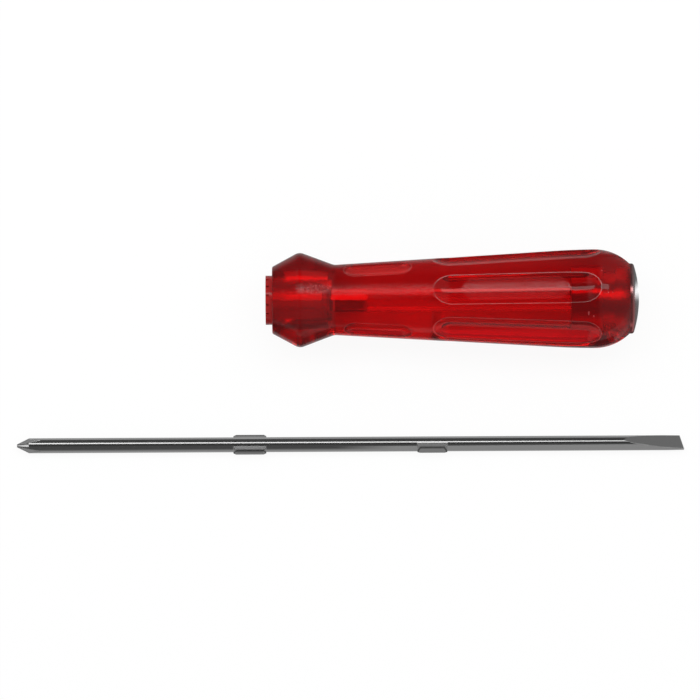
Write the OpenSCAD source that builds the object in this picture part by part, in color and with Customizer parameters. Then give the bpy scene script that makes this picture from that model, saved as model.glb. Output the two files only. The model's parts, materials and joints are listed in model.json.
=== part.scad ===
// Striking screwdriver: a red moulded handle with a steel striking cap, and the loose reversible blade beside it.
// Millimetres. +X runs from the Phillips point to the slotted tip, +Y from the blade to the handle, +Z is up.
// The origin is under the middle of the pair, on the surface that both lie on.

/* [Blade] */
// Diameter of the round bar
bar_d = 6; // [5:0.1:7]
// Overall length of the blade
blade_len = 267.5; // [250:0.5:320]

/* [Phillips point] */
// Diameter of the blunt end
point_d = 1.2; // [0.8:0.1:2]
// Half angle of the point's cone
point_angle = 26.5; // [20:0.5:40]
// Distance across the core that the grooves leave at the end
point_core_d = 1.1; // [0.6:0.1:1.6]
// Length over which the grooves run out
groove_len = 9.8; // [7:0.1:14]

/* [Slotted tip] */
// Length of the two ground flats
flat_len = 24; // [16:0.5:32]
// Thickness at the end
tip_t = 1.1; // [0.6:0.1:2]
// Turn of the flats about the bar, from facing up towards the handle
flat_turn = 28; // [-90:1:90]
// Angle by which the end is ground out of square
tip_skew = 16; // [0:1:20]

/* [Lugs] */
// Distance across the crests of a pair of lugs
lug_span = 8.3; // [7.6:0.1:9]
// Width of a lug at its crest
lug_crest_w = 2.6; // [2:0.1:3.2]
// Width of a lug at its root
lug_root_w = 5; // [4:0.1:5.4]
// Length of the sloping ends of a lug
lug_slope = 1.3; // [0.6:0.1:2]
// Length of the pair of lugs that serves the Phillips half
pair_len = 13.2; // [10:0.1:13.6]
// Turn of the pair about the bar, from facing up towards the handle
pair_turn = -53; // [-90:1:90]
// Length of the single lug that serves the slotted half
single_len = 12; // [10:0.1:13.6]
// Turn of the single lug about the bar, from facing up towards the handle
single_turn = -40; // [-90:1:90]
// How much nearer to its own tip the pair sits than the single lug
pair_lead = 8.1; // [0:0.1:20]

/* [Grip] */
// Length of the plastic from the bolster's face to the cap
grip_len = 142.5; // [130:0.5:160]
// Largest diameter of the grip, at the butt
grip_d = 39.4; // [36:0.1:44]
// Diameter of the neck behind the bolster
neck_d = 28; // [26:0.1:32]
// Fillet in the neck
neck_round = 5; // [1:0.5:8]
// Length over which the taper bends into the butt
crown_len = 16; // [8:0.5:24]

/* [Bolster] */
// Diameter of the bolster over its rounded crest
bolster_d = 37.6; // [34:0.1:40]
// Diameter of the bolster's front face
face_d = 26.6; // [24:0.1:29]
// Slope of the front cone
bolster_front_angle = 28.5; // [22:0.5:34]
// Slope of the rear cone
bolster_rear_angle = 20.5; // [16:0.5:28]
// Rounding of the crest
crest_round = 4; // [1:0.5:6]
// Rounding of the edge of the front face
face_round = 0.8; // [0.2:0.1:1.5]

/* [Long flutes] */
// Number of long flutes
flute_count = 6; // [5:1:7]
// Radius of their hollow section
flute_r = 14; // [11:0.5:18]
// Depth at the middle
flute_depth = 2.4; // [1.5:0.1:2.8]
// Length from end to end
flute_len = 67.5; // [50:0.5:72]
// Distance from the bolster's face to the front end
flute_start = 63.5; // [60:0.5:66]
// Turn of the first one, from facing up towards +Y
flute_turn = 14; // [0:1:60]

/* [Short flutes] */
// Radius of their hollow section
dimple_r = 8; // [6:0.5:12]
// Depth at the middle
dimple_depth = 1.6; // [1:0.1:2]
// Length from end to end
dimple_len = 27; // [20:0.5:30]
// Distance from the bolster's face to the front end
dimple_start = 28.2; // [27:0.1:31]
// Angle from the plain panel to a short flute on either side of it
dimple_turn = 56; // [45:1:60]

/* [Nose bush] */
// Diameter of the flange that stands out of the bolster
flange_d = 19.6; // [18:0.1:22]
// Thickness of the flange
flange_t = 2.6; // [1.5:0.1:4]
// Diameter of the body inside the bolster
bush_d = 16.4; // [15:0.1:17.4]
// Length of the body
bush_len = 21; // [17:0.5:24]
// Number of notches round the flange
notch_count = 16; // [8:1:24]
// Width of a notch
notch_w = 0.8; // [0.4:0.1:1.2]
// Depth of a notch along the axis
notch_depth = 1.3; // [0.6:0.1:1.4]
// Height of a notch in from the rim
notch_height = 1.6; // [0.8:0.1:2.4]

/* [Lug slots and ring] */
// Length of the two slots in the grip that hold the lugs
slot_len = 15.6; // [15.4:0.1:20]
// Turn of the slots, in the grip and the bush, from facing up towards +Y
slot_turn = -20; // [-30:1:30]
// Length of the ring's chamber, from the slots in the grip forward into the bush
chamber_len = 3.9; // [3:0.1:5]
// Thickness of the retaining ring's wire
ring_wire = 1.4; // [1:0.1:1.6]
// Angle of the gap in the ring
ring_gap = 40; // [20:5:90]

/* [Anvil and cap] */
// Diameter of the anvil
anvil_d = 17.2; // [15:0.1:19]
// Length of the anvil from its front face to the cap
anvil_len = 23.1; // [21:0.1:26]
// Depth of the hole in the anvil's front face for the end of the bar
anvil_hole = 14.6; // [12:0.1:16]
// Width of the groove that the plastic grips
groove_w = 4; // [2:0.1:5]
// Depth of that groove
groove_depth = 1.6; // [0.8:0.1:2.4]
// Distance from that groove to the cap
groove_setback = 7.5; // [5:0.1:9]
// Diameter of the spigot that carries the cap
spigot_d = 10; // [7:0.1:12]
// Length of the spigot
spigot_len = 1.6; // [1:0.1:2]
// Diameter of the cap
cap_d = 28; // [25:0.1:30]
// Height of the cap
cap_h = 3.7; // [3.4:0.1:6]
// Radius of the cap's dome
dome_r = 45; // [40:1:80]
// Rounding of the cap's edge
cap_round = 1; // [0.4:0.1:1.2]
// Diameter of the flat in the middle of the cap
strike_d = 6; // [4:0.5:10]

/* [Clearances] */
// Radial play of the bar in its bore
bar_play = 0.1; // [0.05:0.05:0.3]
// Radial play of the bar in the ring
ring_play = 0.2; // [0.05:0.05:0.4]
// Play of the lugs in their slots and in the bush
lug_play = 0.2; // [0.1:0.05:0.4]
// Play of the inserts in the plastic and of the cap on its spigot
insert_play = 0.05; // [0.02:0.01:0.15]
// Room in the ring's chamber for the ring to open round the lugs
chamber_room = 0.3; // [0.2:0.05:0.6]
// Room left ahead of the end of the bar when the lugs are home
tip_room = 1; // [0.5:0.1:3]

/* [Layout] */
// Distance between the axes of the handle and the blade
axis_spacing = 57.8; // [45:0.1:80]
// Distance from the Phillips point to the front of the handle
nose_setback = 100.2; // [60:0.1:110]

/* [Hidden] */
$fn = 96;

// Steps in the arc of a rounded corner, and in a quarter turn
corner_steps = 6;
quarter_steps = 12;
// How far a cutter reaches past what it cuts
over = 1;

// Radii
bar_r = bar_d / 2;
bore_r = bar_r + bar_play;
crest_r = lug_span / 2;
grip_r = grip_d / 2;
neck_r = neck_d / 2;
bolster_r = bolster_d / 2;
face_r = face_d / 2;
cap_r = cap_d / 2;
strike_r = strike_d / 2;
chamber_r = crest_r + ring_wire + chamber_room;
wing_root = bar_r / 2;

// Stations along the handle, from the front of the flange
grip_front = flange_t;
grip_end = grip_front + grip_len;
handle_len = grip_end + cap_h;
bush_end = grip_front + bush_len;
slot_front = bush_end + ring_wire + 2 * insert_play;
lug_stop = slot_front + slot_len;
chamber_front = slot_front - chamber_len;
anvil_front = grip_end - anvil_len;
bore_end = anvil_front + anvil_hole;
groove_rear = grip_end - groove_setback;
groove_front = groove_rear - groove_w;

// Bolster: the corner where its two cones would meet lies outside the rounded crest
cone_sum = (bolster_front_angle + bolster_rear_angle) / 2;
cone_difference = (bolster_front_angle - bolster_rear_angle) / 2;
apex_r = bolster_r + crest_round * (cos(cone_difference) / cos(cone_sum) - 1);
apex_at = grip_front + (apex_r - face_r) / tan(bolster_front_angle);
neck_at = apex_at + (apex_r - neck_r) / tan(bolster_rear_angle);

// Butt: a ball on the axis whose edge meets the cap, with the taper bending into it
butt_at = grip_end - sqrt(grip_r ^ 2 - cap_r ^ 2);
crown_at = butt_at - crown_len / 2;
taper = atan((grip_r - neck_r) / (crown_at - neck_at));
crown_round = crown_len / 2 / tan(taper / 2);

// Blade: its lugs stand at the depth where each half is home in the slots
single_start = bore_end - tip_room - lug_stop;
pair_start = single_start - pair_lead;
cone_len = (bar_r - point_d / 2) / tan(point_angle);

// Reach of the crests from the blade's axis, sideways and down
crest_half = asin(lug_crest_w / lug_span);
function reach_side(turn) = crest_r * sin(min(90, abs(turn) + crest_half));
function reach_down(turn) = crest_r * cos(max(0, abs(turn) - crest_half));
blade_side = max(bar_r, reach_side(pair_turn), reach_side(single_turn));
blade_down = max(bar_r, reach_down(pair_turn));

// Places of the two axes
handle_z = max(grip_r, bolster_r);
handle_y = (axis_spacing + blade_side - handle_z) / 2;
blade_y = handle_y - axis_spacing;
blade_z = blade_down;
left_end = min(0, nose_setback);
right_end = max(blade_len, nose_setback + handle_len);
point_x = -(left_end + right_end) / 2;
nose_x = point_x + nose_setback;

function unit(v) = v / norm(v);

// Points of an arc about a centre, from one angle to another
function arc(centre, radius, from, to, steps) =
    [for (i = [0 : steps]) let (a = from + (to - from) * i / steps) centre + radius * [cos(a), sin(a)]];

// Points that round the corner b of the line a, b, c
function corner(a, b, c, radius) =
    let (
        p = unit(a - b),
        q = unit(c - b),
        half = acos(p * q) / 2,
        centre = b + unit(p + q) * radius / sin(half),
        first = b + p * radius / tan(half) - centre,
        last = b + q * radius / tan(half) - centre,
        start = atan2(first.y, first.x),
        sweep = atan2(first.x * last.y - first.y * last.x, first * last)
    )
    arc(centre, radius, start, start + sweep, corner_steps);

// Outline through points [radius, station, rounding]
function rounded(path) = [
    for (i = [0 : len(path) - 1])
        let (here = [path[i].x, path[i].y], rounding = path[i][2])
        each rounding == 0
            ? [here]
            : corner([path[i - 1].x, path[i - 1].y], here, [path[i + 1].x, path[i + 1].y], rounding)
];

// Radius of the tapered body at a station, before the flutes
function body_r(at) = at < crown_at
    ? neck_r + (at - neck_at) * tan(taper)
    : grip_r;

// Handle frame: local Z runs along the handle from the front of its flange
module on_handle() translate([nose_x, handle_y, handle_z]) rotate([0, 90, 0]) children();

// Blade frame: local Z runs along the blade from its Phillips point
module on_blade() translate([point_x, blade_y, blade_z]) rotate([0, 90, 0]) children();

// Turns local X to an angle about the axis, counted from facing up towards +Y
module facing(turn) rotate([0, 0, 180 - turn]) children();

module tube(r, from, to) translate([0, 0, from]) cylinder(r = r, h = to - from);

// Round-ended cutter that hollows a flute of the given depth between two stations
module flute(r, depth, start, length) {
    end_reach = sqrt(r ^ 2 - (r - depth) ^ 2);
    from = start + end_reach;
    to = start + length - end_reach;
    from_r = body_r(from) + r - depth;
    to_r = body_r(to) + r - depth;
    run = norm([to - from, to_r - from_r]);
    outline = concat(
        arc([0, 0], r, -90, 0, quarter_steps),
        arc([0, run], r, 0, 90, quarter_steps)
    );
    translate([from_r, 0, from])
        rotate([0, atan2(to_r - from_r, to - from), 0])
            rotate_extrude()
                polygon(outline);
}

// Outside of the grip, turned about the axis
module grip_body() {
    outline = concat(
        rounded([
            [0, grip_front, 0],
            [face_r, grip_front, face_round],
            [apex_r, apex_at, crest_round],
            [neck_r, neck_at, neck_round],
            [grip_r, crown_at, crown_round],
            [grip_r, butt_at, 0],
        ]),
        arc([0, butt_at], grip_r, 0, acos(cap_r / grip_r), quarter_steps),
        [[0, grip_end]]
    );
    rotate_extrude() polygon(outline);
}

// Anvil's outside, grown by the play that its pocket has
module anvil_body(grow) {
    difference() {
        tube(anvil_d / 2 + grow, anvil_front, grip_end);
        difference() {
            tube(anvil_d / 2 + over, groove_front + grow, groove_rear - grow);
            tube(anvil_d / 2 - groove_depth + grow, groove_front, groove_rear);
        }
    }
}

// Section of a wing along X, straight at its root and narrowing to its top
module wing_section(root_half, top, top_half) {
    polygon([
        [0, -root_half],
        [wing_root, -root_half],
        [top, -top_half],
        [top, top_half],
        [wing_root, root_half],
        [0, root_half],
    ]);
}

// Section of one lug, with a round crest
module lug_section() {
    top = crest_r + over;
    narrowing = (lug_root_w - lug_crest_w) / 2 / (crest_r * cos(crest_half) - wing_root);
    intersection() {
        wing_section(lug_root_w / 2, top, lug_root_w / 2 - narrowing * (top - wing_root));
        circle(r = crest_r);
    }
}

// Round way for the bar with a flat-topped slot on either side for the lugs, between two stations
module winged_bore(from, to) {
    tube(bore_r, from, to);
    for (side = [0, 180])
        facing(slot_turn + side)
            translate([0, 0, from])
                linear_extrude(to - from)
                    wing_section(
                        lug_root_w / 2 + lug_play,
                        crest_r + lug_play,
                        lug_crest_w / 2 + lug_play
                    );
}

module grip() {
    color([0.78, 0.04, 0.06, 0.75])
        on_handle()
            difference() {
                grip_body();
                tube(bush_d / 2 + insert_play, grip_front - over, bush_end);
                tube(chamber_r, bush_end - over, slot_front);
                winged_bore(slot_front - over, lug_stop);
                tube(bore_r, lug_stop - over, anvil_front + over);
                anvil_body(insert_play);
                tube(anvil_d / 2 + insert_play, grip_end - over, grip_end + over);
                for (i = [0 : flute_count - 1])
                    facing(flute_turn + i * 360 / flute_count)
                        flute(flute_r, flute_depth, grip_front + flute_start, flute_len);
                for (panel = [0, 180], side = [-1, 1])
                    facing(panel + side * dimple_turn)
                        flute(dimple_r, dimple_depth, grip_front + dimple_start, dimple_len);
            }
}

module nose_bush() {
    color([0.70, 0.05, 0.07, 0.8])
        on_handle()
            difference() {
                union() {
                    tube(flange_d / 2, 0, flange_t);
                    tube(bush_d / 2, flange_t - over, bush_end);
                }
                winged_bore(-over, bush_end + over);
                tube(chamber_r, chamber_front, bush_end + over);
                for (i = [0 : notch_count - 1])
                    rotate([0, 0, (i + 0.5) * 360 / notch_count])
                        translate([flange_d / 2 - notch_height, -notch_w / 2, -over])
                            cube([notch_height + over, notch_w, notch_depth + over]);
            }
}

module retaining_ring() {
    ring_r = bar_r + ring_play + ring_wire / 2;
    color("dimgray")
        on_handle()
            translate([0, 0, bush_end + insert_play + ring_wire / 2])
                rotate([0, 0, ring_gap / 2])
                    rotate_extrude(angle = 360 - ring_gap)
                        translate([ring_r, 0])
                            circle(d = ring_wire);
}

module anvil() {
    color("slategray")
        on_handle()
            difference() {
                union() {
                    anvil_body(0);
                    tube(spigot_d / 2, grip_end - over, grip_end + spigot_len);
                }
                tube(bore_r, anvil_front - over, bore_end);
            }
}

module striking_cap() {
    dome_at = handle_len - sqrt(dome_r ^ 2 - strike_r ^ 2);
    edge_at = dome_at + sqrt(dome_r ^ 2 - cap_r ^ 2);
    edge_angle = acos(cap_r / dome_r);
    dome = arc([0, dome_at], dome_r, edge_angle, acos(strike_r / dome_r), corner_steps);
    outline = rounded(concat(
        [[0, grip_end, 0], [cap_r, grip_end, 0], [cap_r, edge_at, cap_round]],
        [for (i = [1 : corner_steps]) [dome[i].x, dome[i].y, 0]],
        [[0, handle_len, 0]]
    ));
    color("silver")
        on_handle()
            difference() {
                rotate_extrude() polygon(outline);
                tube(spigot_d / 2 + insert_play, grip_end - over, grip_end + spigot_len + insert_play);
            }
}

// Lug along the bar, with sloping ends
module lug(start, length, turn) {
    rise = crest_r - bar_r;
    top = crest_r + over;
    run = lug_slope * (top - bar_r) / rise;
    facing(turn)
        intersection() {
            translate([0, 0, start]) linear_extrude(length) lug_section();
            translate([0, 0, start])
                rotate([90, 0, 0])
                    linear_extrude(2 * lug_root_w, center = true)
                        polygon([
                            [0, 0],
                            [bar_r, 0],
                            [top, run],
                            [top, length - run],
                            [bar_r, length],
                            [0, length],
                        ]);
        }
}

// Grooves of the Phillips point: right-angled, running out along the bar
module point_grooves() {
    core = point_core_d / 2;
    slope = atan((bar_r - core) / groove_len);
    for (turn = [45 : 90 : 315])
        facing(turn)
            translate([core, 0, 0])
                rotate([0, slope, 0])
                    rotate([0, 0, -45])
                        translate([0, 0, -over])
                            cube([bar_d, bar_d, groove_len + bar_d]);
}

// Ground flats and skewed end of the slotted tip
module tip_cuts() {
    slope = atan((bar_r - tip_t / 2) / flat_len);
    for (side = [0, 180])
        facing(flat_turn + side)
            translate([bar_r, -bar_d, blade_len - flat_len])
                rotate([0, -slope, 0])
                    cube([bar_d, 2 * bar_d, flat_len + bar_d]);
    facing(flat_turn)
        translate([0, bar_r, blade_len])
            rotate([tip_skew, 0, 0])
                translate([-bar_d, -2 * bar_d, 0])
                    cube([2 * bar_d, 3 * bar_d, bar_d]);
}

module blade() {
    outline = [[0, 0], [point_d / 2, 0], [bar_r, cone_len], [bar_r, blade_len], [0, blade_len]];
    color("gray")
        on_blade()
            difference() {
                union() {
                    rotate_extrude() polygon(outline);
                    for (side = [0, 180])
                        lug(pair_start, pair_len, pair_turn + side);
                    lug(blade_len - single_start - single_len, single_len, single_turn);
                }
                point_grooves();
                tip_cuts();
            }
}

grip();
nose_bush();
retaining_ring();
anvil();
striking_cap();
blade();
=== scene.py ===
import json
import math

import bmesh
import bpy
import numpy as np
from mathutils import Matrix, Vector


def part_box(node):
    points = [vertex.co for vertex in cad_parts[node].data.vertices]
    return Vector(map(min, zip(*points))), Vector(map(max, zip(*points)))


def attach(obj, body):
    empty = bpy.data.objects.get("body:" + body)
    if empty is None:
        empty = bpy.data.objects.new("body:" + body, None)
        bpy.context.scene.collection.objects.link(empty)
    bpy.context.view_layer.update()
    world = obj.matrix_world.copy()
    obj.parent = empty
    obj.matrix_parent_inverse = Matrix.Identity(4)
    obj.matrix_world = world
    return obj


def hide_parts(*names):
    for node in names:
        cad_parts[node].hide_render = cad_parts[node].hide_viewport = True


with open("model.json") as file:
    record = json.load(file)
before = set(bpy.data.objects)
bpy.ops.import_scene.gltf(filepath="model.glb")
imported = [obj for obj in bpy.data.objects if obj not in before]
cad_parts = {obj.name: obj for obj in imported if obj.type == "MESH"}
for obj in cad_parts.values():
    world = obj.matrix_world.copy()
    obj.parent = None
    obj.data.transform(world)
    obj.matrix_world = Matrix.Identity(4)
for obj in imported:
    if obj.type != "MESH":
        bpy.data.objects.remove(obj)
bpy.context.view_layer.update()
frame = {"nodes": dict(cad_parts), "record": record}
nodes = frame["nodes"]
scene = bpy.context.scene

# Sizes and places are in millimetres, unless a comment says otherwise
MM = 0.001

# Where the axes of the handle and the blade lie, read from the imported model
grip_low, grip_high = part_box("grip")
mounts = {mount["name"]: mount["pos_m"] for mount in frame["record"]["mounts"]}
NOSE_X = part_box("nose_bush")[0].x / MM
AXIS_Y = (grip_low.y + grip_high.y) / 2 / MM
AXIS_Z = (grip_low.z + grip_high.z) / 2 / MM
BLADE_Y = mounts["phillips_point"][1] / MM
BLADE_Z = mounts["phillips_point"][2] / MM

# Grip, as in the CAD source: stations from the front of the bush's flange, and radii
GRIP_FRONT = 2.6
GRIP_END = 145.1
GRIP_R = 19.7
NECK_R = 14.0
NECK_ROUND = 5.0
CROWN_LEN = 16.0
BOLSTER_R = 18.8
FACE_R = 13.3
FRONT_ANGLE = math.radians(28.5)
REAR_ANGLE = math.radians(20.5)
CREST_ROUND = 4.0
FACE_ROUND = 0.8
CAP_R = 14.0
BUSH_R = 8.2
BUSH_END = 23.6
CHAMBER_R = 5.85
SLOT_FRONT = 25.1
SLOT_END = 40.7
SLOT_TURN = -20.0
SLOT_TOP = 4.35
SLOT_TOP_HALF = 1.5
SLOT_ROOT = 1.5
SLOT_ROOT_HALF = 2.7
BORE_R = 3.1
ANVIL_FRONT = 122.0
ANVIL_R = 8.6
GROOVE_FRONT = 133.6
GROOVE_REAR = 137.6
GROOVE_R = 7.0

# Flutes of the grip: turns in degrees from facing up, starts from the bolster's face
LONG_COUNT = 6
LONG_TURN = 14.0
LONG_R = 14.0
LONG_DEPTH = 2.4
LONG_START = 63.5
LONG_LEN = 67.5
SHORT_TURNS = (-56.0, 56.0, 124.0, 236.0)
SHORT_R = 8.0
SHORT_DEPTH = 1.6
SHORT_START = 28.2
SHORT_LEN = 27.0

# Mesh of the grip: gap round the bush, bite into the anvil, softness of the flutes' edges, depth in a
# flute up to which hands wear the surface, a rim value far from any flute, the least cosine to divide
# by, and how fine the mesh is
GAP = 0.05
BITE = 0.03
SOFT_EDGE = 0.2
WORN_DEPTH = 0.02
FAR_FROM_RIM = -5.0
LEAST_COSINE = 0.1
STEP = 0.42
COLUMNS = 300
FACE_STEPS = 6
CREST_STEPS = 12
NECK_STEPS = 10
CROWN_STEPS = 36
BUTT_STEPS = 43

# Red plastic: share that is clear, where plain, where frosted and where a highlight is painted, and on the
# flange, then gloss and absorption
CLEAR = 0.93
FROST_AND_HIGHLIGHT_CLEAR = 0.82
FLANGE_CLEAR = 0.4
PLASTIC_IOR = 1.49
PLASTIC_ROUGH = 0.06
GRIP_DENSITY = 200.0
BUSH_DENSITY = 260.0
RED_ABSORB = (0.968, 0.0, 0.02)
RED = (0.95, 0.016, 0.024)
# Colour of frost, and of the painted highlight of the cloudy patch
RED_FROST_AND_HIGHLIGHT = (0.95, 0.15, 0.16)
# Colour of the painted highlight along the flutes' outlines
RED_EDGE_HIGHLIGHT = (0.95, 0.32, 0.32)
# Colour of the painted light in flutes
RED_PAINTED_LIGHT = (0.95, 0.05, 0.05)
RED_FLANGE = (0.52, 0.03, 0.03)

# Soft steps are pairs of limits: an edge is where a mark begins or ends. A grain is the scale and the
# detail of a noise, and most of a noise lies in its span
NOISE_SPAN = (0.3, 0.7)
EVEN = (1.0, 1.0, 1.0)

# Marks on the grip: places along it are from the frame's origin, those across it from its axis
UPPER_EDGE = (4.0, 6.0)

# Frosted panel in the top flute: ends, rounding of its tail, drift, distance from the axis, half width,
# widening of its pointed end, soft edge, grain and shares of frost
PANEL_FRONT = 43.8
PANEL_REAR = 87.6
PANEL_ROUND = 4.0
PANEL_DRIFT = 0.012
PANEL_Y = 4.0
PANEL_HALF = 4.5
PANEL_POINT = 1.15
PANEL_EDGE = (-0.1, 0.2)
PANEL_GRAIN = (1100.0, 4.0)
PANEL_FROST = (0.2, 0.45)

# Cloudy patch on the bolster, partly rubbed wear and partly painted highlight: middle, half sizes, soft
# edge and clouds
PATCH_X = -13.5
PATCH_Y = 4.3
PATCH_LONG = 8.0
PATCH_WIDE = 2.3
PATCH_EDGE = (0.3, 1.3)
PATCH_GRAIN = (2000.0, 4.0)
PATCH_CLOUDS = (0.34, 0.62)

# Scratches round the butt
BUTT_EDGE = (92.0, 94.0)
SCRATCH_GRAIN = (520.0, 2.0)
SCRATCH_STRETCH = (1.0, 0.45, 0.45)
SCRATCH_EDGE = (0.69, 0.73)

# Painted highlight along the flutes' outlines, and painted light in flutes, by depth, by place along the
# grip and by distance from its axis
LINE_EDGE = (0.04, 0.13)
LINE_SHARE = 0.6
FLUTE_EDGE = (0.1, 0.5)
SHORT_EDGE = (26.0, 28.0)
ABOVE_EDGE = (5.0, 8.0)
ABOVE_GLOW = 0.16
BELOW_EDGE = (-12.8, -11.4)
BELOW_GLOW = 0.2

# Handling marks ahead of the butt, strongest along the top; the depth of their bump is in metres
HANDLED_EDGE = (62.0, 92.0)
HANDLED_GRAIN = (1400.0, 3.0)
HANDLED_WEAR = (0.45, 0.7)
HANDLED_ROUGH = 0.12
HANDLED_DEPTH = 0.0002
TOP_EDGE = (1.5, 4.0)
TOP_LEAST = 0.25
GLOSS_ROUGH = 0.02
DULL_ROUGH = 0.4

# Bush: gloss and its grain, and where the flange ends, from the bolster's face
BUSH_GRAIN = (500.0, 4.0)
BUSH_ROUGH = (0.02, 0.06)
FLANGE_EDGE = (-0.3, 0.1)

# Steel: colours, ranges of roughness, grains and their stretch
STEEL_GRAIN = (600.0, 3.0)
WIRE = (0.35, 0.35, 0.37)
WIRE_ROUGH = (0.2, 0.3)
TURNED = (0.46, 0.45, 0.43)
TURNED_ROUGH = (0.32, 0.4)
TURNED_STRETCH = (1.0, 0.2, 0.2)
BRIGHT = (0.62, 0.62, 0.63)
BRIGHT_ROUGH = (0.2, 0.26)
PLATE = (0.66, 0.66, 0.66)
PLATE_ROUGH = (0.13, 0.14)
PLATE_GRAIN = (300.0, 3.0)
PLATE_STRETCH = (0.1, 1.0, 1.0)

# Painted reflection of the red plastic along the cap's rim: colour, reach on the near and the far side,
# distance from the axis at which each is full, largest share and softness
RIM_RED_REFLECTION = (0.8, 0.14, 0.14)
RIM_REACH = (2.0, 1.0)
RIM_SIDE = 3.0
RIM_SHARE = 0.85
RIM_SOFT = 1.0

# Lugs of the blade: distance from its axis at which they begin, their finish, and the painted shade of a
# crease round their crests. The pair and the single lug each have a turn in degrees, a middle and half a
# crest's length
LUG_EDGE = (3.02, 3.12)
LUG_STEEL = (0.5, 0.5, 0.5)
LUG_ROUGH = 0.4
LUG_PAIR = (-53.0, -40.3, 6.0)
LUG_SINGLE = (-40.0, 32.8, 5.4)
LUG_PARTING = 1.0
CREST_HALF = 1.3
CREST_SLANT = 0.4
CREASE_SHADE = (0.15, 0.15, 0.15)
CREASE_SHADE_EDGE = (0.12, 0.4)

# Rounding that the blade's edges seem to have, at the lugs and at the tips
LUG_ROUND = 0.5
TIP_ROUND = 0.3
TIPS_FROM = (60.0, 70.0)
ROUND_SAMPLES = 8

# Floor: half its size, how far it lies under the object, its grey, the share of pure white that the
# camera sees, and the levels that reflections meet, with their edges
FLOOR_HALF = 3000.0
FLOOR_DROP = 0.05
PAPER = 0.9
FLOOR_SEEN = 0.92
FLOOR_NEAR_BLADE = 0.4
FLOOR_BY_HANDLE = 0.35
FLOOR_FAR = 0.09
FLOOR_PAST_CAP = 0.16
CAP_SPOT = 1.4
BLADE_SIDE = 4.0
HANDLE_SIDE = (30.0, 55.0)
HANDLE_EDGE = (108.0, 114.0)
PAST_EDGE = (114.0, 118.0)
SPOT_Y = 4.0
SPOT_EDGE = (0.5, 5.0)

# Painted shadow on the floor, met only by rays through the clear nose, as stops of y and grey, and a
# painted shadow strip under the neck
NOSE_SPAN = (-50.0, 150.0)
NOSE_FLOOR_SHADOW = [
    (0, 0.02),
    (8, 0.25),
    (12, 0.9),
    (14, 0.9),
    (17, 0.5),
    (22, 0.5),
    (27, 0.3),
    (60, 0.4),
    (76, 0.9),
]
NOSE_EDGE = (-4.0, 8.0)
NECK_LEFT = (-10.0, -7.0)
NECK_RIGHT = (6.0, 9.0)
NECK_Y = 11.0
NECK_SIDE = (3.0, 6.0)

# Cards that only reflections meet: places, heights, and levels at the left foot, up the left and at right
CARD_REACH = 300.0
CARD_TOP = 22.0
CARD_GRADE = (2.0, 10.0)
CARD_PARTING = (-6.0, 18.0)
NEAR_Y = -12.0
NEAR_END = 114.0
NEAR_LEVELS = (0.065, 0.065, 0.065)
FAR_Y = -46.0
FAR_LEVELS = (0.4, 0.08, 0.33)
POINT_X = -200.0
POINT_Y = (-58.0, -16.0)
POINT_Z = (20.0, 90.0)
POINT_LEVELS = (0.95, 0.95, 0.95)

# Sky: level for soft light, then stops of grey for reflections by angle from overhead towards +Y and by
# direction along X, and for light through glass by height
SKY_SOFT = 0.8
SKY_SIDES = [
    (-90, 0.12),
    (-60, 0.1),
    (-15, 0.1),
    (-5, 0.06),
    (5, 0.045),
    (45, 0.05),
    (75, 0.06),
    (90, 0.1),
]
SKY_ENDS = [
    (-1.0, 0.2),
    (-0.55, 0.2),
    (-0.42, 0.4),
    (-0.3, 0.4),
    (-0.2, 0.0),
    (0.08, 0.0),
    (0.2, 0.25),
    (1.0, 0.3),
]
SKY_THROUGH = [(0.0, 0.8), (0.15, 0.35), (0.35, 0.1)]

# Lamps: watts, degrees from overhead, metres
KEY_POWER = 2.0
KEY_ANGLE = 30.0
KEY_WIDE = 0.26
FILL_POWER = 8.0
FILL_ANGLE = 18.0
FILL_WIDE = 0.4
LAMP_AWAY = 1.2
LAMP_LONG = 1.6

# Camera: sensor in millimetres, places in metres, roll in degrees. The frame has its width at the
# height of the scale
SENSOR = 36.0
FRAME_WIDE = 0.28
CAMERA_Y = 0.00102
CAMERA_Z = 3.0
CAMERA_ROLL = -0.28
CAMERA_END = 20.0
SCALE_Z = 0.012


def line(a, b):
    """Points from a towards b, without b."""
    count = max(1, int(round(math.dist(a, b) / STEP)))
    return [(a[0] + (b[0] - a[0]) * i / count, a[1] + (b[1] - a[1]) * i / count) for i in range(count)]


def corner(a, b, c, radius, steps):
    """Points of the arc that rounds the corner b of the line a, b, c."""
    a, b, c = (np.array(p, float) for p in (a, b, c))
    p = (a - b) / np.linalg.norm(a - b)
    q = (c - b) / np.linalg.norm(c - b)
    half = math.acos(float(p @ q)) / 2
    middle = (p + q) / np.linalg.norm(p + q)
    centre = b + middle * radius / math.sin(half)
    first = b + p * radius / math.tan(half) - centre
    last = b + q * radius / math.tan(half) - centre
    start = math.atan2(first[1], first[0])
    sweep = math.atan2(first[0] * last[1] - first[1] * last[0], float(first @ last))
    angles = [start + sweep * i / steps for i in range(steps + 1)]
    return [(centre[0] + radius * math.cos(t), centre[1] + radius * math.sin(t)) for t in angles]


def outline(path):
    """Points along a path of corners, each with its rounding and the steps of its arc."""
    made = []
    for i, (point, radius, steps) in enumerate(path):
        part = [point] if not radius else corner(path[i - 1][0], point, path[i + 1][0], radius, steps)
        if made:
            made += line(made[-1], part[0])[1:]
        made += part
    return made


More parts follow.
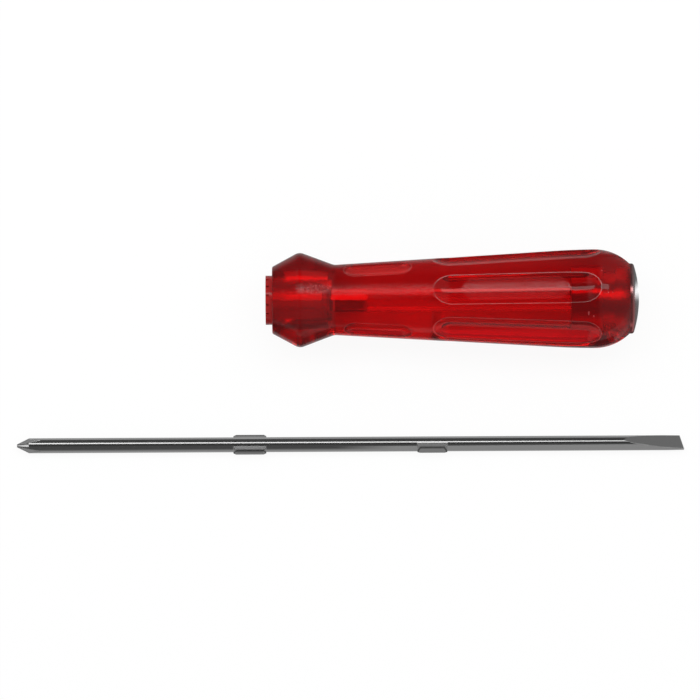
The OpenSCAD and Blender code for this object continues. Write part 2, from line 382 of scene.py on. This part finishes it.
# Outside of the grip: stations and radii from the front face to the cap
half_sum = (FRONT_ANGLE + REAR_ANGLE) / 2
half_difference = (FRONT_ANGLE - REAR_ANGLE) / 2
apex_r = BOLSTER_R + CREST_ROUND * (math.cos(half_difference) / math.cos(half_sum) - 1)
apex_at = GRIP_FRONT + (apex_r - FACE_R) / math.tan(FRONT_ANGLE)
neck_at = apex_at + (apex_r - NECK_R) / math.tan(REAR_ANGLE)
butt_at = GRIP_END - math.sqrt(GRIP_R**2 - CAP_R**2)
crown_at = butt_at - CROWN_LEN / 2
taper = math.atan((GRIP_R - NECK_R) / (crown_at - neck_at))
crown_round = CROWN_LEN / 2 / math.tan(taper / 2)
outer = outline([
    ((GRIP_FRONT, BUSH_R + GAP), 0, 0),
    ((GRIP_FRONT, FACE_R), FACE_ROUND, FACE_STEPS),
    ((apex_at, apex_r), CREST_ROUND, CREST_STEPS),
    ((neck_at, NECK_R), NECK_ROUND, NECK_STEPS),
    ((crown_at, GRIP_R), crown_round, CROWN_STEPS),
    ((butt_at, GRIP_R), 0, 0),
])
# The arc of the crown ends at the last corner, so that point is there twice
outer.pop()
butt_turns = np.linspace(0, math.acos(CAP_R / GRIP_R), BUTT_STEPS + 1)[1:]
outer += [(butt_at + GRIP_R * math.sin(t), GRIP_R * math.cos(t)) for t in butt_turns]

# Pockets of the grip, from the cap back to the front face
inner = [
    (GRIP_END, ANVIL_R - BITE),
    (GROOVE_REAR, ANVIL_R - BITE),
    (GROOVE_REAR, GROOVE_R - BITE),
    (GROOVE_FRONT, GROOVE_R - BITE),
    (GROOVE_FRONT, ANVIL_R - BITE),
    (ANVIL_FRONT + BITE, ANVIL_R - BITE),
    (ANVIL_FRONT + BITE, BORE_R),
    (SLOT_END, BORE_R),
    (SLOT_END, SLOT_TOP),
    (SLOT_FRONT, SLOT_TOP),
    (SLOT_FRONT, CHAMBER_R),
    (BUSH_END + GAP, CHAMBER_R),
    (BUSH_END + GAP, BUSH_R + GAP),
]
loop = outer + inner
rows = len(loop)
outer_rows = len(outer)
stations = np.array([p[0] for p in loop])
radii = np.array([p[1] for p in loop])
theta = np.arange(COLUMNS) * 2 * math.pi / COLUMNS
grid_u = np.repeat(stations[:, None], COLUMNS, 1)
grid_r = np.repeat(radii[:, None], COLUMNS, 1)


def smooth_min(a, b, k):
    """Lesser of two arrays, with the change from one to the other rounded over k."""
    h = np.clip(k - np.abs(a - b), 0, None) / k
    return np.minimum(a, b) - h * h * k / 4


def body_r(at):
    """Radius of the plain grip behind the neck."""
    return NECK_R + (at - neck_at) * math.tan(taper) if at < crown_at else GRIP_R


def tool_path(grid_u, r, depth, start, length):
    """Distance of a flute's round tool from the axis at each station, and how far past its run that is."""
    reach = math.sqrt(r * r - (r - depth) ** 2)
    first = start + reach
    last = start + length - reach
    first_r = body_r(first) + r - depth
    last_r = body_r(last) + r - depth
    along = np.clip((grid_u - first) / (last - first), 0, 1)
    centre = first_r + (last_r - first_r) * along
    return centre, grid_u - (first + (last - first) * along)


def hollow(grid_u, grid_r, turn, r, *run):
    """Takes a round-ended flute out of the radii, with a softened edge."""
    centre, past = tool_path(grid_u, r, *run)
    section = np.sqrt(np.clip(r * r - past * past, 0, None))
    away = (theta[None, :] - math.radians(turn) + math.pi) % (2 * math.pi) - math.pi
    side = centre * np.sin(away)
    inside = (np.abs(side) < section) & (np.cos(away) > 0)
    floor_r = centre * np.cos(away) - np.sqrt(np.clip(section**2 - side**2, 0, None))
    return np.where(inside, smooth_min(grid_r, floor_r, SOFT_EDGE), grid_r)


def sunk(grid_u, grid_r, turn, r, *run):
    """How far the turned surface lies inside the tool of a flute; zero along the flute's outline."""
    centre, past = tool_path(grid_u, r, *run)
    away = theta[None, :] - math.radians(turn)
    level = grid_r * np.cos(away) - centre
    return r - np.sqrt(past**2 + (grid_r * np.sin(away)) ** 2 + level**2)


long_run = (LONG_R, LONG_DEPTH, GRIP_FRONT + LONG_START, LONG_LEN)
short_run = (SHORT_R, SHORT_DEPTH, GRIP_FRONT + SHORT_START, SHORT_LEN)
flutes = [(LONG_TURN + 360 / LONG_COUNT * i, *long_run) for i in range(LONG_COUNT)]
flutes += [(turn, *short_run) for turn in SHORT_TURNS]
shell_u = grid_u[:outer_rows]
turned_r = grid_r[:outer_rows].copy()
shell_r = turned_r
rim = np.full_like(grid_r, FAR_FROM_RIM)
for flute in flutes:
    shell_r = hollow(shell_u, shell_r, *flute)
    rim[:outer_rows] = np.maximum(rim[:outer_rows], sunk(shell_u, turned_r, *flute))
grid_r[:outer_rows] = shell_r
worn = np.zeros_like(grid_r)
worn[:outer_rows] = turned_r - shell_r < WORN_DEPTH

# Two slots for the lugs, on opposite sides of the bore
away = np.abs((theta - math.radians(SLOT_TURN) + math.pi / 2) % math.pi - math.pi / 2)
lean = (SLOT_ROOT_HALF - SLOT_TOP_HALF) / (SLOT_TOP - SLOT_ROOT)
flank = (SLOT_ROOT_HALF + lean * SLOT_ROOT) / (np.sin(away) + lean * np.cos(away))
top = SLOT_TOP / np.maximum(np.cos(away), LEAST_COSINE)
for station in (SLOT_END, SLOT_FRONT):
    row = outer_rows + inner.index((station, SLOT_TOP))
    grid_r[row] = np.maximum(np.minimum(flank, top), BORE_R + BITE)

# Mesh of the grip, smooth but for the rows of its sharp edges
points = np.stack(
    [
        (NOSE_X + grid_u) * MM,
        (AXIS_Y + grid_r * np.sin(theta)[None, :]) * MM,
        (AXIS_Z + grid_r * np.cos(theta)[None, :]) * MM,
    ],
    axis=-1,
)
index = np.arange(rows * COLUMNS).reshape(rows, COLUMNS)
down = np.roll(index, -1, 0)
faces = np.stack([index, down, np.roll(down, -1, 1), np.roll(index, -1, 1)], axis=-1).reshape(-1, 4)
grip_mesh = bpy.data.meshes.new("grip_shell")
grip_mesh.from_pydata(points.reshape(-1, 3).tolist(), [], faces.tolist())
work = bmesh.new()
work.from_mesh(grip_mesh)
bmesh.ops.recalc_face_normals(work, faces=work.faces)
sharp_rows = {0, *range(outer_rows - 1, rows)}
for edge in work.edges:
    a, b = (vertex.index // COLUMNS for vertex in edge.verts)
    if a == b and a in sharp_rows:
        edge.smooth = False
for face in work.faces:
    face.smooth = True
work.to_mesh(grip_mesh)
work.free()
for name, values in (("worn", worn), ("rim", rim)):
    kept = grip_mesh.attributes.new(name, "FLOAT", "POINT")
    kept.data.foreach_set("value", values.astype(np.float32).ravel())
grip_shell = bpy.data.objects.new("grip_shell", grip_mesh)
scene.collection.objects.link(grip_shell)
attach(grip_shell, "handle")
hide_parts("grip")


class Term:
    """Number that a shader node gives. Sums, products and the like of terms are Math nodes in its tree."""

    def __init__(self, socket):
        self.socket = socket
        self.tree = socket.id_data

    def math(self, kind, *given):
        made = add_node(self.tree, "Math")
        made.operation = kind
        for value, socket in zip(given, made.inputs):
            feed(socket, value)
        return Term(made.outputs["Value"])

    def __add__(self, other):
        return self.math("ADD", self, other)

    def __sub__(self, other):
        return self.math("SUBTRACT", self, other)

    def __rsub__(self, other):
        return self.math("SUBTRACT", other, self)

    def __mul__(self, other):
        return self.math("MULTIPLY", self, other)

    def __truediv__(self, other):
        return self.math("DIVIDE", self, other)

    def __pow__(self, other):
        return self.math("POWER", self, other)

    def __abs__(self):
        return self.math("ABSOLUTE", self)


def feed(socket, given):
    """Gives an input socket a term, a colour or a plain value."""
    if isinstance(given, Term):
        socket.id_data.links.new(given.socket, socket)
    elif socket.type == "RGBA":
        socket.default_value = (*given, 1)
    else:
        socket.default_value = given


def add_node(tree, kind, **inputs):
    """Adds a shader node and feeds the inputs that are named, with spaces for underscores."""
    made = tree.nodes.new("ShaderNode" + kind)
    for name, given in inputs.items():
        feed(made.inputs[name.replace("_", " ")], given)
    return made


def most(first, *others):
    """Largest of a term and other terms or numbers."""
    for other in others:
        first = first.math("MAXIMUM", first, other)
    return first


def least(first, *others):
    """Smallest of a term and other terms or numbers."""
    for other in others:
        first = first.math("MINIMUM", first, other)
    return first


def spread(value, low, high, start=NOISE_SPAN[0], end=NOISE_SPAN[1]):
    """Runs from low to high while the value runs from start to end, and is level beyond them."""
    ends = {"From_Min": start, "From_Max": end, "To_Min": low, "To_Max": high}
    return Term(add_node(value.tree, "MapRange", Value=value, **ends).outputs["Result"])


def rise(value, start, end):
    """Soft step from zero up to one."""
    return spread(value, 0.0, 1.0, start, end)


def fall(value, start, end):
    """Soft step from one down to zero."""
    return spread(value, 1.0, 0.0, start, end)


def around(middle, limits):
    """Limits moved to a middle."""
    return tuple(middle + limit for limit in limits)


def blend(share, a, b):
    """Colour between a and b, each a colour or a term."""
    made = add_node(share.tree, "Mix")
    made.data_type = "RGBA"
    for name, given in (("Factor", share), ("A", a), ("B", b)):
        feed(made.inputs[name], given)
    return Term(made.outputs["Result"])


def ramp(value, stops, low, high):
    """Grey by a value between low and high, through stops of value and grey."""
    made = add_node(value.tree, "ValToRGB", Fac=spread(value, 0.0, 1.0, low, high))
    elements = made.color_ramp.elements
    while len(elements) < len(stops):
        elements.new(1.0)
    for element, (at, grey) in zip(elements, stops):
        element.position = (at - low) / (high - low)
        element.color = (grey, grey, grey, 1)
    return Term(made.outputs["Color"])


def noise(tree, grain, stretch=EVEN):
    """Cloudy noise of a grain over the object's coordinates, which the stretch squeezes by axis."""
    scale, detail = grain
    place = add_node(tree, "TexCoord")
    squeezed = add_node(tree, "Mapping", Vector=Term(place.outputs["Object"]), Scale=stretch)
    vector = Term(squeezed.outputs["Vector"])
    return Term(add_node(tree, "TexNoise", Vector=vector, Scale=scale, Detail=detail).outputs["Fac"])


def attribute(tree, name):
    """Value that the mesh keeps under a name."""
    made = add_node(tree, "Attribute")
    made.attribute_name = name
    return Term(made.outputs["Fac"])


def place_mm(tree):
    """Coordinates of the object in millimetres, as three terms."""
    place = add_node(tree, "TexCoord")
    scaled = add_node(tree, "VectorMath")
    scaled.operation = "SCALE"
    feed(scaled.inputs["Vector"], Term(place.outputs["Object"]))
    feed(scaled.inputs["Scale"], 1 / MM)
    split = add_node(tree, "SeparateXYZ", Vector=Term(scaled.outputs["Vector"]))
    return [Term(split.outputs[axis]) for axis in "XYZ"]


def ray_kinds(tree):
    """Shares of rays from the camera, mirrored by a surface, and gone through glass."""
    path = add_node(tree, "LightPath")
    through = Term(path.outputs["Is Transmission Ray"])
    mirrored = Term(path.outputs["Is Glossy Ray"]) * (1.0 - through)
    return Term(path.outputs["Is Camera Ray"]), mirrored, through


def blank(name):
    """Material with an output and nothing else."""
    made = bpy.data.materials.new(name)
    made.use_nodes = True
    made.node_tree.nodes.clear()
    return made, made.node_tree, add_node(made.node_tree, "OutputMaterial")


def principled(name, **inputs):
    """Material with a Principled surface."""
    made, tree, out = blank(name)
    surface = add_node(tree, "BsdfPrincipled", **inputs)
    tree.links.new(surface.outputs["BSDF"], out.inputs["Surface"])
    return made, tree, surface, out


def clear_red(name, density):
    """Clear red plastic: glass with a little haze over an absorbing volume."""
    made, tree, surface, out = principled(
        name,
        Base_Color=RED,
        Transmission_Weight=CLEAR,
        Roughness=PLASTIC_ROUGH,
        IOR=PLASTIC_IOR,
    )
    volume = add_node(tree, "VolumeAbsorption", Color=RED_ABSORB, Density=density)
    tree.links.new(volume.outputs["Volume"], out.inputs["Volume"])
    return made, tree, surface


def metal(name, colour, rough, grain=STEEL_GRAIN, stretch=EVEN):
    """Bare steel with a grain, its surface node and its roughness."""
    made, tree, surface, _ = principled(name, Base_Color=colour, Metallic=1.0)
    roughness = spread(noise(tree, grain, stretch), *rough)
    feed(surface.inputs["Roughness"], roughness)
    return made, tree, surface, roughness


def panel_frost(tree, x, y):
    """Frosted panel in the top flute: pointed towards the nose, blunt towards the butt."""
    from_front = x - PANEL_FRONT
    off = abs(y - (AXIS_Y + PANEL_Y) - from_front * PANEL_DRIFT)
    tail = most((PANEL_REAR - x) / PANEL_ROUND, 0.0) ** 0.5 * PANEL_HALF
    half = least(from_front * PANEL_POINT, tail, PANEL_HALF)
    return rise(half - off, *PANEL_EDGE) * spread(noise(tree, PANEL_GRAIN), *PANEL_FROST)


def patch_cloud(tree, x, y):
    """Cloudy patch on the bolster, partly rubbed wear and partly painted highlight."""
    along = (x - PATCH_X) / PATCH_LONG
    across = (y - (AXIS_Y + PATCH_Y)) / PATCH_WIDE
    clouds = rise(noise(tree, PATCH_GRAIN), *PATCH_CLOUDS)
    return fall(along * along + across * across, *PATCH_EDGE) * clouds


def grip_plastic():
    """Plastic of the grip, with the marks of its mould and of use, painted highlights and painted light.
    """
    made, tree, surface = clear_red("red_clear", GRIP_DENSITY)
    x, y, z = place_mm(tree)
    worn_share = attribute(tree, "worn")
    depth = attribute(tree, "rim")
    upper = rise(z, *around(AXIS_Z, UPPER_EDGE))
    marks = rise(noise(tree, SCRATCH_GRAIN, SCRATCH_STRETCH), *SCRATCH_EDGE)
    scratches = marks * (rise(x, *BUTT_EDGE) * worn_share)
    # Frost of the panel, the cloudy patch, which is partly painted highlight, and scratches round the butt
    frost_and_highlight = most(panel_frost(tree, x, y) * upper, patch_cloud(tree, x, y) * upper, scratches)
    # Painted highlight: a fine light line along the outline of every flute
    edge_highlight = fall(abs(depth), *LINE_EDGE)
    # Painted light in flutes: the short ones of the far side get a lit red and more haze, the outer walls
    # of the near side more haze
    inside = rise(depth, *FLUTE_EDGE)
    above = inside * fall(x, *SHORT_EDGE) * rise(y, *around(AXIS_Y, ABOVE_EDGE))
    below = inside * fall(y, *around(AXIS_Y, BELOW_EDGE))
    colour = blend(frost_and_highlight, blend(above, RED, RED_PAINTED_LIGHT), RED_FROST_AND_HIGHLIGHT)
    feed(surface.inputs["Base Color"], blend(edge_highlight, colour, RED_EDGE_HIGHLIGHT))
    # The painted highlight along the outlines also takes some of the clear share
    frost_and_highlight = most(frost_and_highlight, edge_highlight * LINE_SHARE)
    clear = spread(frost_and_highlight, CLEAR, FROST_AND_HIGHLIGHT_CLEAR, 0.0, 1.0)
    feed(surface.inputs["Transmission Weight"], clear - most(above * ABOVE_GLOW, below * BELOW_GLOW))
    # Handled most along the top, so the gloss there breaks up
    fine = noise(tree, HANDLED_GRAIN)
    handled = fall(x, *HANDLED_EDGE) * worn_share
    rubbed = spread(fine, 0.0, HANDLED_ROUGH, *HANDLED_WEAR) * handled
    feed(surface.inputs["Roughness"], most(rubbed + GLOSS_ROUGH, frost_and_highlight * DULL_ROUGH))
    top = fall(abs(y - (AXIS_Y + PATCH_Y)), *TOP_EDGE)
    height = fine * (handled * spread(top, TOP_LEAST, 1.0, 0.0, 1.0))
    bumpy = add_node(tree, "Bump", Height=height, Distance=HANDLED_DEPTH, Strength=1.0)
    feed(surface.inputs["Normal"], Term(bumpy.outputs["Normal"]))
    return made


def bush_plastic():
    """Plastic of the bush, darker red and less clear on the flange that stands outside the grip."""
    made, tree, surface = clear_red("red_bush", BUSH_DENSITY)
    feed(surface.inputs["Roughness"], spread(noise(tree, BUSH_GRAIN), *BUSH_ROUGH))
    flange = fall(place_mm(tree)[0], *around(NOSE_X + GRIP_FRONT, FLANGE_EDGE))
    feed(surface.inputs["Base Color"], blend(flange, RED, RED_FLANGE))
    feed(surface.inputs["Transmission Weight"], spread(flange, CLEAR, FLANGE_CLEAR, 0.0, 1.0))
    return made


def ring_steel():
    """Spring wire of the ring."""
    return metal("spring_wire", WIRE, WIRE_ROUGH)[0]


def anvil_steel():
    """Turned steel of the anvil."""
    return metal("turned_steel", TURNED, TURNED_ROUGH, stretch=TURNED_STRETCH)[0]


def cap_steel():
    """Polished steel with a painted reflection of the red plastic along its rim, farther on the near side.
    """
    made, tree, surface, _ = metal("polished_steel", BRIGHT, BRIGHT_ROUGH)
    x, y, _ = place_mm(tree)
    reach = spread(y, *around(NOSE_X + GRIP_END, RIM_REACH), *around(AXIS_Y, (-RIM_SIDE, RIM_SIDE)))
    share = spread(x - reach, RIM_SHARE, 0.0, -RIM_SOFT, RIM_SOFT)
    feed(surface.inputs["Base Color"], blend(share, BRIGHT, RIM_RED_REFLECTION))
    return made


def crest_edge(x, dy, dz, turn, middle, half):
    """Distance from the outline of a lug's crest, negative inside; the ends of the crest slant."""
    turn = math.radians(turn)
    across = dy * math.cos(turn) - dz * math.sin(turn)
    past_end = abs(x - middle) + across * CREST_SLANT - half
    return most(abs(across) - CREST_HALF, past_end)


def blade_steel():
    """Satin plate of the blade, with duller lugs and painted shade round their crests."""
    made, tree, surface, roughness = metal("satin_plate", PLATE, PLATE_ROUGH, PLATE_GRAIN, PLATE_STRETCH)
    x, y, z = place_mm(tree)
    dy = y - BLADE_Y
    dz = z - BLADE_Z
    # The lugs stand out of the bar, and painted shade darkens a crease round their crests
    lug = rise((dy * dy + dz * dz) ** 0.5, *LUG_EDGE)
    feed(surface.inputs["Roughness"], most(roughness, lug * LUG_ROUGH))
    right = rise(x, -LUG_PARTING, LUG_PARTING)
    left_edge = crest_edge(x, dy, dz, *LUG_PAIR) * (1.0 - right)
    right_edge = crest_edge(x, dy, dz, *LUG_SINGLE) * right
    crease_shade = fall(abs(left_edge + right_edge), *CREASE_SHADE_EDGE) * lug
    feed(surface.inputs["Base Color"], blend(crease_shade, blend(lug, PLATE, LUG_STEEL), CREASE_SHADE))
    # Edges catch light as if rounded, most of all on the lugs
    soft = add_node(tree, "Bevel", Radius=spread(abs(x), LUG_ROUND * MM, TIP_ROUND * MM, *TIPS_FROM))
    soft.samples = ROUND_SAMPLES
    feed(surface.inputs["Normal"], Term(soft.outputs["Normal"]))
    return made


def dress(piece, made):
    """Gives a piece its one material."""
    piece.data.materials.clear()
    piece.data.materials.append(made)


dress(grip_shell, grip_plastic())
dress(nodes["nose_bush"], bush_plastic())
dress(nodes["retaining_ring"], ring_steel())
dress(nodes["anvil"], anvil_steel())
dress(nodes["striking_cap"], cap_steel())
dress(nodes["blade"], blade_steel())


def sheet(name, corners, made):
    """Flat four-cornered sheet of the studio."""
    mesh = bpy.data.meshes.new(name)
    mesh.from_pydata([tuple(v * MM for v in point) for point in corners], [], [(0, 1, 2, 3)])
    mesh.materials.append(made)
    placed = bpy.data.objects.new(name, mesh)
    scene.collection.objects.link(placed)
    return placed


def glow_for(share, level, other, out):
    """Glow at a level for a share of the rays, and another surface for the rest."""
    tree = share.tree
    glow = add_node(tree, "Emission", Strength=level)
    choose = add_node(tree, "MixShader", Fac=share)
    tree.links.new(other, choose.inputs[1])
    tree.links.new(glow.outputs["Emission"], choose.inputs[2])
    tree.links.new(choose.outputs["Shader"], out.inputs["Surface"])


def floor_paper():
    """White to the camera, dimmer in reflections, and lit paper for all else, with painted shadow under
    the nose and neck that only rays through glass meet.
    """
    made, tree, surface, out = principled("paper", Roughness=1.0, Specular_IOR_Level=0.0)
    seen, mirrored, through = ray_kinds(tree)
    x, y, _ = place_mm(tree)
    # Painted shadow seen through the clear nose, and a painted shadow strip under the neck
    nose_shadow = ramp(y, NOSE_FLOOR_SHADOW, *NOSE_SPAN)
    shadow_under_nose = (PAPER - nose_shadow) * (fall(x, *NOSE_EDGE) * through)
    strip = rise(x, *NECK_LEFT) * fall(x, *NECK_RIGHT) * fall(abs(y - NECK_Y), *NECK_SIDE)
    feed(surface.inputs["Base Color"], PAPER - most(shadow_under_nose, strip * through * PAPER))
    # Levels in reflections: by the handle, past its cap, and by the blade
    aside = spread(abs(y - AXIS_Y), FLOOR_BY_HANDLE, FLOOR_FAR, *HANDLE_SIDE)
    by_handle = most(aside * fall(x, *HANDLE_EDGE), FLOOR_FAR)
    spot = fall(abs(y - (AXIS_Y + SPOT_Y)), *SPOT_EDGE)
    past_cap = rise(x, *PAST_EDGE) * spread(spot, FLOOR_PAST_CAP, CAP_SPOT, 0.0, 1.0)
    by_blade = fall(y, NEAR_Y - BLADE_SIDE, NEAR_Y + BLADE_SIDE) * FLOOR_NEAR_BLADE
    level = most(seen, mirrored * most(past_cap, by_handle, by_blade))
    glow_for(most(seen * FLOOR_SEEN, mirrored), level, surface.outputs["BSDF"], out)
    made.cycles.emission_sampling = "NONE"
    return made


def card(name, a, b, heights, levels):
    """Standing card from a to b that only mirrored rays meet: graded upwards, and from left to right."""
    made, tree, out = blank(name)
    x, _, z = place_mm(tree)
    foot, left, right = levels
    share = rise(x, *CARD_PARTING)
    level = spread(z, foot, left, *CARD_GRADE) * (1.0 - share) + share * right
    clear = add_node(tree, "BsdfTransparent")
    glow_for(ray_kinds(tree)[1], level, clear.outputs["BSDF"], out)
    made.cycles.emission_sampling = "NONE"
    low, high = heights
    stood = sheet(name, [(*a, low), (*b, low), (*b, high), (*a, high)], made)
    stood.visible_camera = False
    stood.visible_diffuse = False
    stood.visible_shadow = False


quarters = [(-1, -1), (1, -1), (1, 1), (-1, 1)]
floor_corners = [(FLOOR_HALF * i, FLOOR_HALF * j, -FLOOR_DROP) for i, j in quarters]
sheet("floor", floor_corners, floor_paper())

# Cards round the blade: a dark one towards the handle, one on the other side that is darker at its
# left, and a light one ahead of the point
card("near_card", (-CARD_REACH, NEAR_Y), (NEAR_END, NEAR_Y), (0, CARD_TOP), NEAR_LEVELS)
card("far_card", (-CARD_REACH, FAR_Y), (CARD_REACH, FAR_Y), (0, CARD_TOP), FAR_LEVELS)
card("point_card", (POINT_X, POINT_Y[0]), (POINT_X, POINT_Y[1]), POINT_Z, POINT_LEVELS)


def studio_sky():
    """White behind the object, plain soft light on it, dim overhead in reflections."""
    world = bpy.data.worlds.new("studio")
    world.use_nodes = True
    tree = world.node_tree
    tree.nodes.clear()
    place = add_node(tree, "TexCoord")
    split = add_node(tree, "SeparateXYZ", Vector=Term(place.outputs["Generated"]))
    x, y, z = (Term(split.outputs[axis]) for axis in "XYZ")
    seen, mirrored, through = ray_kinds(tree)
    angle = y.math("ARCTAN2", y, z) * (180 / math.pi)
    glossy = most(ramp(angle, SKY_SIDES, -180, 180), ramp(x, SKY_ENDS, -1, 1))
    soft = 1.0 - (seen + mirrored + through)
    level = seen + soft * SKY_SOFT + mirrored * glossy + through * ramp(z, SKY_THROUGH, 0, 1)
    sky = add_node(tree, "Background", Strength=level)
    out = add_node(tree, "OutputWorld")
    tree.links.new(sky.outputs["Background"], out.inputs["Surface"])
    return world


scene.world = studio_sky()


def strip_lamp(name, angle, wide, power):
    """Area lamp along X, leaning from overhead towards +Y, facing the object."""
    data = bpy.data.lights.new(name, "AREA")
    data.shape = "RECTANGLE"
    data.size = LAMP_LONG
    data.size_y = wide
    data.energy = power
    lamp = bpy.data.objects.new(name, data)
    t = math.radians(angle)
    lamp.location = (0, LAMP_AWAY * math.sin(t), LAMP_AWAY * math.cos(t))
    lamp.rotation_euler = (-t, 0, 0)
    scene.collection.objects.link(lamp)
    return lamp


strip_lamp("key", KEY_ANGLE, KEY_WIDE, KEY_POWER)
fill = strip_lamp("fill", FILL_ANGLE, FILL_WIDE, FILL_POWER)
fill.visible_glossy = False

# Camera: straight down from far above, with a small roll
camera_data = bpy.data.cameras.new("camera")
camera_data.sensor_width = SENSOR
camera_data.lens = SENSOR * (CAMERA_Z - SCALE_Z) / FRAME_WIDE
camera_data.clip_end = CAMERA_END
camera = bpy.data.objects.new("camera", camera_data)
camera.location = (0.0, CAMERA_Y, CAMERA_Z)
camera.rotation_euler = (0, 0, math.radians(CAMERA_ROLL))
scene.collection.objects.link(camera)
scene.camera = camera

scene.view_settings.view_transform = "Standard"
